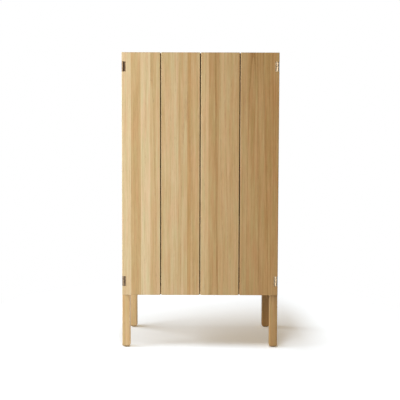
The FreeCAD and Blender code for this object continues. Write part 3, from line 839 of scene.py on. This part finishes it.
# %% Seats for the turned parts
def solids(node):
    """The lowest and highest corner and the points of each separate solid in a node."""
    work = joined(node)
    waiting = set(work.verts)
    found = []
    while waiting:
        front = [waiting.pop()]
        points = []
        while front:
            vert = front.pop()
            points.append(vert.co.copy())
            beside = [edge.other_vert(vert) for edge in vert.link_edges]
            fresh = [other for other in beside if other in waiting]
            waiting.difference_update(fresh)
            front.extend(fresh)
        low = Vector([min(point[i] for point in points) for i in range(3)])
        high = Vector([max(point[i] for point in points) for i in range(3)])
        found.append((low, high, points))
    work.free()
    return sorted(found, key=lambda solid: tuple(solid[0]))


def seat_of(low, high, aim):
    """The middle of a solid's near end, and the way it goes in."""
    middle = (low + high) / 2
    reach = abs((high - low).dot(aim)) / 2
    return middle - reach * aim, aim


def grown(name, seats, tree, sizes):
    """Run a tree on a list of (place, aim) seats and return the result as a plain mesh."""
    points = bpy.data.meshes.new(name + "_seats")
    points.from_pydata([place for place, aim in seats], [], [])
    aims = points.attributes.new("aim", "FLOAT_VECTOR", "POINT")
    for entry, (place, aim) in zip(aims.data, seats):
        entry.vector = aim
    holder = new_object(name + "_seats", points)
    modifier = holder.modifiers.new("lathe", "NODES")
    modifier.node_group = tree
    for socket in tree.interface.items_tree:
        if socket.name in sizes:
            modifier[socket.identifier] = sizes[socket.name]
    graph = bpy.context.evaluated_depsgraph_get()
    mesh = bpy.data.meshes.new_from_object(holder.evaluated_get(graph), depsgraph=graph)
    holder.modifiers.remove(modifier)
    bpy.data.objects.remove(holder)
    mesh.name = name
    while mesh.materials[0] is None:
        mesh.materials.pop(index=0)
    return mesh


print("shelf pins to turn:", len(solids("shelf_pins")))

# %% [markdown]
# ## Screws
# Every hinge leaf is held by small countersunk wood screws with a cross recess. The head is flush with
# the leaf, so what shows is its rim and the cross. The cross is cut from the turned blank by Mesh
# Boolean, and each screw stops at its own angle, because nobody lines them up. In a profile, each point
# is a share of the radius and a share of the length.

# %% Screws
SCREW_RADIUS = 0.0035
SCREW_LENGTH = 0.016
SHANK = 0.0017 / SCREW_RADIUS
HEAD_END = 0.002 / SCREW_LENGTH
HEAD_PROFILE = [(0.0, 0.0), (0.55, 0.0), (0.93, 0.002), (1.0, 0.012), (SHANK, HEAD_END)]
THREADS = 9
THREAD_CORE = 0.72
THREAD_START = 0.2
TIP_START = 0.88
TIP_PROFILE = [(SHANK * 0.5, 0.95), (0.0, 1.0)]
RECESS_SIZES = {"Recess Width": 0.0042, "Recess Slot": 0.0009, "Recess Depth": 0.0022}
RECESS_SIDES = 8
RECESS_TOP = 0.3
RECESS_BOTTOM = 1.3
RECESS_HEIGHT = 0.9
RECESS_DROP = -0.1
SCREW_SIZES = {"Radius": SCREW_RADIUS, "Length": SCREW_LENGTH, "Columns": 25, **RECESS_SIZES}
SCREW_BODIES = {
    "post_hinge_screws": "carcass",
    "outer_door_screws_left": "left_outer_door",
    "inner_door_screws_left": "left_inner_door",
    "outer_door_screws_right": "right_outer_door",
    "inner_door_screws_right": "right_inner_door",
}


def screw_profile():
    """From the middle of the head, round its rim, down the thread to the tip."""
    points = [*HEAD_PROFILE, (SHANK, THREAD_START)]
    threaded = TIP_START - THREAD_START
    for i in range(THREADS):
        valley = THREAD_START + threaded * (i + 0.5) / THREADS
        points.append((SHANK * THREAD_CORE, valley))
        points.append((SHANK, valley + threaded * 0.5 / THREADS))
    return [*points, *TIP_PROFILE]


def cut_away(tree, blank, tool):
    """One mesh with another taken out of it."""
    cuts = {"Mesh 1": blank, "Mesh 2": tool}
    return output(tree, "GeometryNodeMeshBoolean", cuts, operation="DIFFERENCE", solver="EXACT")


def cross_recess(tree, given, blank):
    """Two crossed slots and a deeper middle, cut into the head."""
    wide, narrow, deep = [given[name] for name in RECESS_SIZES]
    size = output(tree, "ShaderNodeCombineXYZ", {0: wide, 1: narrow, 2: deep})
    for turn in (0.0, math.pi / 2):
        slot = output(tree, "GeometryNodeMeshCube", {"Size": size})
        turned = {"Geometry": slot, "Rotation": (0.0, 0.0, turn)}
        blank = cut_away(tree, blank, output(tree, "GeometryNodeTransform", turned))
    cone = {
        "Vertices": RECESS_SIDES,
        "Radius Top": sums(tree, "MULTIPLY", narrow, RECESS_TOP),
        "Radius Bottom": sums(tree, "MULTIPLY", narrow, RECESS_BOTTOM),
        "Depth": sums(tree, "MULTIPLY", deep, RECESS_HEIGHT),
    }
    middle = output(tree, "GeometryNodeMeshCone", cone)
    down = output(tree, "ShaderNodeCombineXYZ", {2: sums(tree, "MULTIPLY", deep, RECESS_DROP)})
    lowered = {"Geometry": middle, "Translation": down}
    return cut_away(tree, blank, output(tree, "GeometryNodeTransform", lowered))


def screw_seats(node):
    """Where each screw's head is and which way the screw goes. The head is the wider end."""
    seats = []
    for low, high, points in solids(node):
        sides = high - low
        along = max(range(3), key=lambda i: sides[i])
        middle = (low + high) / 2
        aim = Vector((0.0, 0.0, 0.0))
        aim[along] = 1.0
        wide = max(points, key=lambda point: (point - middle - (point - middle).dot(aim) * aim).length)
        if wide[along] > middle[along]:
            aim.negate()
        seats.append(seat_of(low, high, aim))
    return seats


screw_tree = turned_tree("wood_screws", screw_profile(), hinge_brown, RECESS_SIZES, cut=cross_recess)
for seed, (node, body) in enumerate(SCREW_BODIES.items()):
    seats = screw_seats(node)
    mesh = grown(node + "_turned", seats, screw_tree, {**SCREW_SIZES, "Seed": seed})
    add_piece(mesh, body, "browned_steel", node)
    print(node, len(seats), "screws", len(mesh.polygons), "faces")

# %% [markdown]
# ## Shelf pins, magnets and strikes
# The shelves rest on turned steel pins with a domed end and a thin groove where they leave the post.
# Behind the top and bottom of the inner boards sit small cup magnets: a bright disc in a cup, with a
# fine ring between. Each meets a steel strike, a chamfered disc let into the board.

# %% Shelf pins, magnets and strikes
BACKWARDS = Vector((0.0, 1.0, 0.0))
FORWARDS = Vector((0.0, -1.0, 0.0))
PIN_PROFILE = [
    (0.0, 0.0),
    (0.45, 0.004),
    (0.78, 0.02),
    (0.95, 0.055),
    (1.0, 0.1),
    (1.0, 0.36),
    (0.86, 0.375),
    (0.86, 0.4),
    (1.0, 0.415),
    (1.0, 0.94),
    (0.85, 1.0),
    (0.0, 1.0),
]
MAGNET_PROFILE = [
    (0.0, 0.012),
    (0.62, 0.012),
    (0.66, 0.024),
    (0.67, 0.07),
    (0.78, 0.07),
    (0.79, 0.01),
    (0.81, 0.0),
    (0.94, 0.0),
    (1.0, 0.03),
    (1.0, 0.95),
    (0.93, 1.0),
    (0.0, 1.0),
]
STRIKE_PROFILE = [
    (0.0, 0.3),
    (0.22, 0.3),
    (0.30, 0.03),
    (0.33, 0.0),
    (0.90, 0.0),
    (0.97, 0.06),
    (1.0, 0.16),
    (1.0, 0.95),
    (0.97, 1.0),
    (0.0, 1.0),
]


def into_post(low):
    """The way a shelf pin goes in: outwards, into the post beside it."""
    return Vector((1.0 if low.x > 0 else -1.0, 0.0, 0.0))


def turned_piece(node, body, slot, tree, columns, aim=None, **more):
    """Replace a node's plain round solids with turned parts of the same size."""
    found = solids(node)
    seats = []
    for low, high, points in found:
        seats.append(seat_of(low, high, into_post(low) if aim is None else aim))
    low, high, points = found[0]
    sides = sorted(high - low)
    width, length = sorted(sides, key=lambda side: abs(side - sides[1]))[1:]
    sizes = {"Radius": width / 2, "Length": length, "Columns": columns, "Seed": len(node), **more}
    mesh = grown(node + "_turned", seats, tree, sizes)
    print(node, len(seats), "parts", len(mesh.polygons), "faces")
    add_piece(mesh, body, slot, node)


pin_tree = turned_tree("shelf_pins", PIN_PROFILE, bright_steel)
magnet_tree = turned_tree("cup_magnets", MAGNET_PROFILE, nickel)
strike_tree = turned_tree("strikes", STRIKE_PROFILE, bright_steel)
turned_piece("shelf_pins", "carcass", "steel", pin_tree, columns=25)
turned_piece("catch_magnets", "carcass", "magnet", magnet_tree, columns=33, aim=BACKWARDS)
turned_piece("door_strikes_left", "left_inner_door", "steel", strike_tree, columns=33, aim=FORWARDS)
turned_piece("door_strikes_right", "right_inner_door", "steel", strike_tree, columns=33, aim=FORWARDS)

# %% [markdown]
# ## Felt glides and dowels
# A felt pad under each leg keeps the floor from scratches. Felt is pressed fibre, so its rim is soft and
# never quite even. The lathe gives it a rounded rim, and noise then presses the surface inwards only, so
# that the pad stays within its leg. The dowels in the top are hidden, and are turned from pale beech.

# %% Felt glides and dowels
UPWARDS = Vector((0.0, 0.0, 1.0))
FELT_COLOUR = (0.115, 0.102, 0.090, 1.0)
FELT_PALE = (0.235, 0.215, 0.190, 1.0)
FELT_ROUGHNESS = (0.9, 1.0)
FELT_SHEEN = 0.35
FELT_SHEEN_ROUGHNESS = 0.6
CLUMP_SCALE = 420.0
CLUMP_WEIGHT = 0.6
HAIRS = (2600.0, 900.0, 1700.0)
HAIR_DEPTH = 0.0003
HAIR_RELIEF = 0.8
PALE_RANGE = (0.62, 1.0)
UNEVEN_SCALE = 260.0
UNEVEN_DEPTH = 0.0005
SIDEWAYS_ONLY = (1.0, 1.0, 0.0)
BEECH_STAVES = [(0.0, 0.72, 0.4, 0.0)]
FELT_PROFILE = [
    (0.0, 0.0),
    (0.35, 0.0),
    (0.62, 0.0),
    (0.80, 0.01),
    (0.91, 0.05),
    (0.97, 0.13),
    (1.0, 0.26),
    (1.0, 0.55),
    (0.99, 0.95),
    (0.9, 1.0),
    (0.0, 1.0),
]


def felt_material():
    """Pressed fibre: a dark ground with pale hairs, no gloss, and a soft sheen."""
    material, tree, shader = new_material("pressed_felt")
    place = object_place(tree)
    clump = noise(tree, place, detail=3.0, scale=CLUMP_SCALE)
    hair = noise(tree, stretch(tree, place, HAIRS), detail=4.0, roughness=0.7)
    pale = remap(tree, sums(tree, "MULTIPLY_ADD", clump, CLUMP_WEIGHT, hair), *PALE_RANGE)
    fill(tree, shader.inputs["Base Color"], mixed(tree, pale, FELT_COLOUR, FELT_PALE))
    fill(tree, shader.inputs["Roughness"], remap(tree, hair, *NOISE_RANGE, *FELT_ROUGHNESS))
    fill(tree, shader.inputs["Sheen Weight"], FELT_SHEEN)
    fill(tree, shader.inputs["Sheen Roughness"], FELT_SHEEN_ROUGHNESS)
    emboss(tree, shader, hair, HAIR_DEPTH, HAIR_RELIEF)
    return material


def pressed_in(tree, given, parts):
    """Move the surface inwards by an uneven amount."""
    place = output(tree, "GeometryNodeInputPosition")
    uneven = sums(tree, "MULTIPLY", noise(tree, place, scale=UNEVEN_SCALE), given["Unevenness"])
    inwards = sums(tree, "MULTIPLY", uneven, -1.0)
    facing = stretch(tree, output(tree, "GeometryNodeInputNormal"), SIDEWAYS_ONLY)
    moved = {"Geometry": parts, "Offset": scaled(tree, facing, inwards)}
    return output(tree, "GeometryNodeSetPosition", moved)


felt_tree = turned_tree("felt_glides", FELT_PROFILE, felt_material(), ("Unevenness",), rub=pressed_in)
turned_piece(
    "foot_glides", "carcass", "felt", felt_tree, columns=49, aim=UPWARDS, Unevenness=UNEVEN_DEPTH
)
dress("top_dowels", UPRIGHT, BEECH_STAVES)
